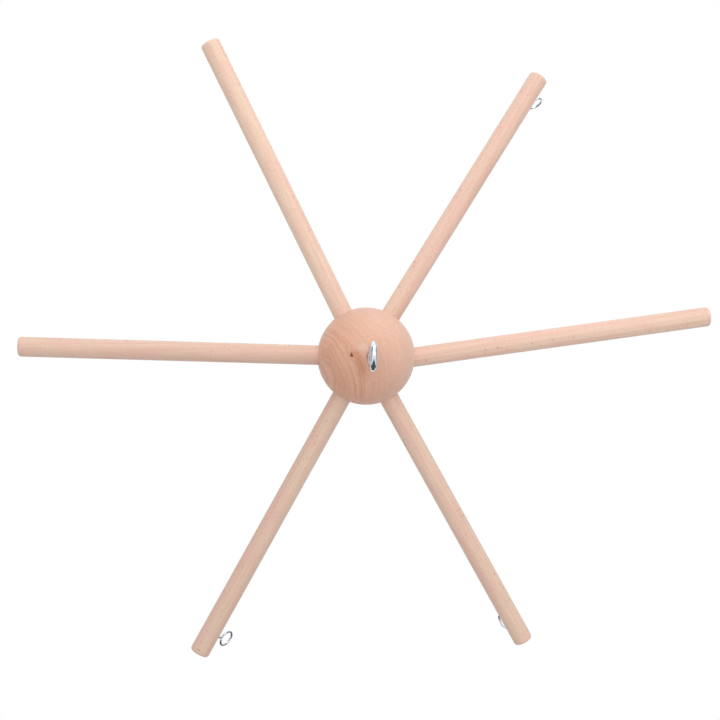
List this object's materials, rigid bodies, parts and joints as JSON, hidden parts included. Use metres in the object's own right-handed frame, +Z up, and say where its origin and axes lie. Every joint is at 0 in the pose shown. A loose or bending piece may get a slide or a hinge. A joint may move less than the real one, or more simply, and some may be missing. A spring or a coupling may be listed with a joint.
{
  "type": "hanging mobile frame",
  "caption": "Hanging mobile frame: a turned wooden ball with round dowel arms pushed into sockets round its equator, a screw eye on top to hang it by and a small screw eye under each arm's tip.",
  "frame": {"origin": "centre of the hanging eye's ring, which the whole frame hangs from", "axes": "+Z up, +X along arm_1's place in the star, arms numbered anticlockwise from above; the hanging eye's hole runs along X"},
  "size_m": [0.3526, 0.3127, 0.0712],
  "materials": {
    "ball_wood": "turned and fine sanded beech, unvarnished",
    "arm_wood": "smooth beech dowel, unvarnished",
    "plated_steel": "bright nickel plated steel wire"
  },
  "bodies": {
    "top_eye": {"hub_eye": "plated_steel"},
    "ball": {"hub": "ball_wood"},
    "arm_1": {"arm_1": "arm_wood"},
    "eye_1": {"arm_eye_1": "plated_steel"},
    "arm_2": {"arm_2": "arm_wood"},
    "eye_2": {"arm_eye_2": "plated_steel"},
    "arm_3": {"arm_3": "arm_wood"},
    "eye_3": {"arm_eye_3": "plated_steel"},
    "arm_4": {"arm_4": "arm_wood"},
    "eye_4": {"arm_eye_4": "plated_steel"},
    "arm_5": {"arm_5": "arm_wood"},
    "eye_5": {"arm_eye_5": "plated_steel"},
    "arm_6": {"arm_6": "arm_wood"},
    "eye_6": {"arm_eye_6": "plated_steel"}
  },
  "joints": [
    {"name": "ball_turn", "type": "hinge", "parent": "top_eye", "child": "ball", "pos_m": [0, 0, 0], "axis": [0, 0, 1], "range_deg": [-90, 90]},
    {"name": "arm_1_push", "type": "slide", "parent": "ball", "child": "arm_1", "axis": [0.9863, 0.1562, 0.0523], "range_m": [-0.0077, 0.0076]},
    {"name": "eye_1_turn", "type": "hinge", "parent": "arm_1", "child": "eye_1", "pos_m": [0.16941, 0.02174, -0.04483], "axis": [-0.0625, 0.0607, 0.9962], "range_deg": [-90, 90]},
    {"name": "arm_2_push", "type": "slide", "parent": "ball", "child": "arm_2", "axis": [0.5147, 0.8566, -0.0349], "range_m": [-0.0007, 0.0146]},
    {"name": "eye_2_turn", "type": "hinge", "parent": "arm_2", "child": "eye_2", "pos_m": [0.08979, 0.13715, -0.05586], "axis": [-0.346, 0.2448, 0.9058], "range_deg": [-90, 90]},
    {"name": "arm_3_push", "type": "slide", "parent": "ball", "child": "arm_3", "axis": [-0.4616, 0.8867, 0.0262], "range_m": [-0.0053, 0.01]},
    {"name": "eye_3_turn", "type": "hinge", "parent": "arm_3", "child": "eye_3", "pos_m": [-0.07994, 0.14818, -0.04869], "axis": [0.0893, 0.0171, 0.9959], "range_deg": [-90, 90]},
    {"name": "arm_4_push", "type": "slide", "parent": "ball", "child": "arm_4", "axis": [-1, 0.0087, 0], "range_m": [-0.003, 0.0123]},
    {"name": "eye_4_turn", "type": "hinge", "parent": "arm_4", "child": "eye_4", "pos_m": [-0.16569, 0.00206, -0.05248], "axis": [-0.0005, -0.0523, 0.9986], "range_deg": [-90, 90]},
    {"name": "arm_5_push", "type": "slide", "parent": "ball", "child": "arm_5", "axis": [-0.4695, -0.8829, -0.0087], "range_m": [-0.0018, 0.0135]},
    {"name": "eye_5_turn", "type": "hinge", "parent": "arm_5", "child": "eye_5", "pos_m": [-0.06896, -0.14836, -0.05049], "axis": [-0.5346, 0.2764, 0.7986], "range_deg": [-90, 90]},
    {"name": "arm_6_push", "type": "slide", "parent": "ball", "child": "arm_6", "axis": [0.5068, -0.8604, -0.0523], "range_m": [-0.0002, 0.0151]},
    {"name": "eye_6_turn", "type": "hinge", "parent": "arm_6", "child": "eye_6", "pos_m": [0.07888, -0.14143, -0.05929], "axis": [0.2197, 0.0702, 0.973], "range_deg": [-90, 90]}
  ]
}
